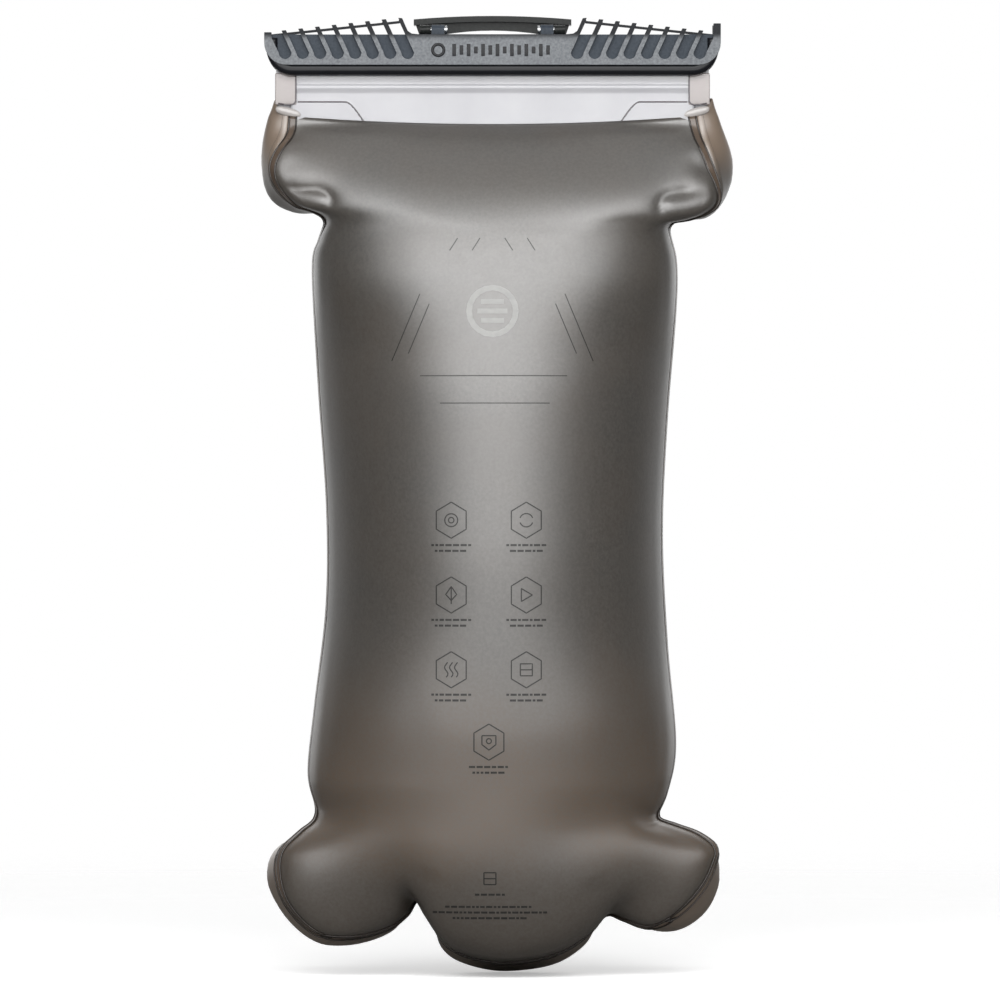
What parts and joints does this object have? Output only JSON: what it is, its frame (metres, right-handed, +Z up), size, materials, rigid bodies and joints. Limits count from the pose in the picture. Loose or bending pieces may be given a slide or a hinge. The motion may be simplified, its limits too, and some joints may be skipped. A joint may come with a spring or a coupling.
{
  "type": "hydration bladder",
  "caption": "Soft water reservoir with a slide-on mouth closure, a hinged hang handle and a rear hose port with an automatic shut-off valve and push-button latch.",
  "frame": {"origin": "middle of the slider's roof, under the folded handle, where the strap or hook that carries the bladder passes", "axes": "+Z up towards the handle, +X to the right along the slider towards its end post, +Y out of the back wall along the hose port"},
  "size_m": [0.193, 0.1043, 0.3909],
  "materials": {
    "smoky_film": "satin translucent TPU film",
    "clear_film": "clear glossy TPU",
    "black_plastic": "satin moulded",
    "slate_plastic": "fine-grained moulded",
    "olive_black_plastic": "satin moulded",
    "port_plastic": "fine-grained moulded",
    "button_plastic": "fine-grained moulded",
    "valve_plastic": "natural acetal",
    "rubber": "matt",
    "steel": "bright drawn"
  },
  "bodies": {
    "bladder": {"front_panel": "smoky_film", "back_panel": "smoky_film", "mouth_front_strip": "clear_film", "mouth_back_strip": "clear_film", "mouth_left_gusset": "clear_film", "mouth_right_gusset": "clear_film", "front_rail": "clear_film", "back_rail": "clear_film", "port_flange": "port_plastic", "port_housing": "port_plastic", "port_o_ring": "rubber", "valve_retainer": "valve_plastic", "valve_spring": "steel", "button_spring": "steel"},
    "slider": {"slider_channel": "black_plastic", "slider_front_cover": "slate_plastic", "slider_back_cover": "slate_plastic", "handle_pin_left": "steel", "handle_pin_right": "steel"},
    "handle": {"handle": "olive_black_plastic"},
    "poppet": {"valve_poppet": "valve_plastic", "poppet_seal": "rubber"},
    "latch": {"release_button": "button_plastic"}
  },
  "joints": [
    {"name": "slider_slide", "type": "slide", "parent": "bladder", "child": "slider", "axis": [1, 0, 0], "range_m": [0, 0.19]},
    {"name": "handle_fold", "type": "hinge", "parent": "slider", "child": "handle", "pos_m": [0, 0, 0.0023], "axis": [1, 0, 0], "range_deg": [0, 180]},
    {"name": "valve_poppet_slide", "type": "slide", "parent": "bladder", "child": "poppet", "axis": [0, -1, 0], "range_m": [0, 0.0025], "stiffness_N_per_m": 300, "springref_m": -0.002, "deforming": ["valve_spring"]},
    {"name": "latch_slide", "type": "slide", "parent": "bladder", "child": "latch", "axis": [0, 0, -1], "range_m": [0, 0.0018], "stiffness_N_per_m": 600, "springref_m": -0.002, "deforming": ["button_spring"]}
  ]
}
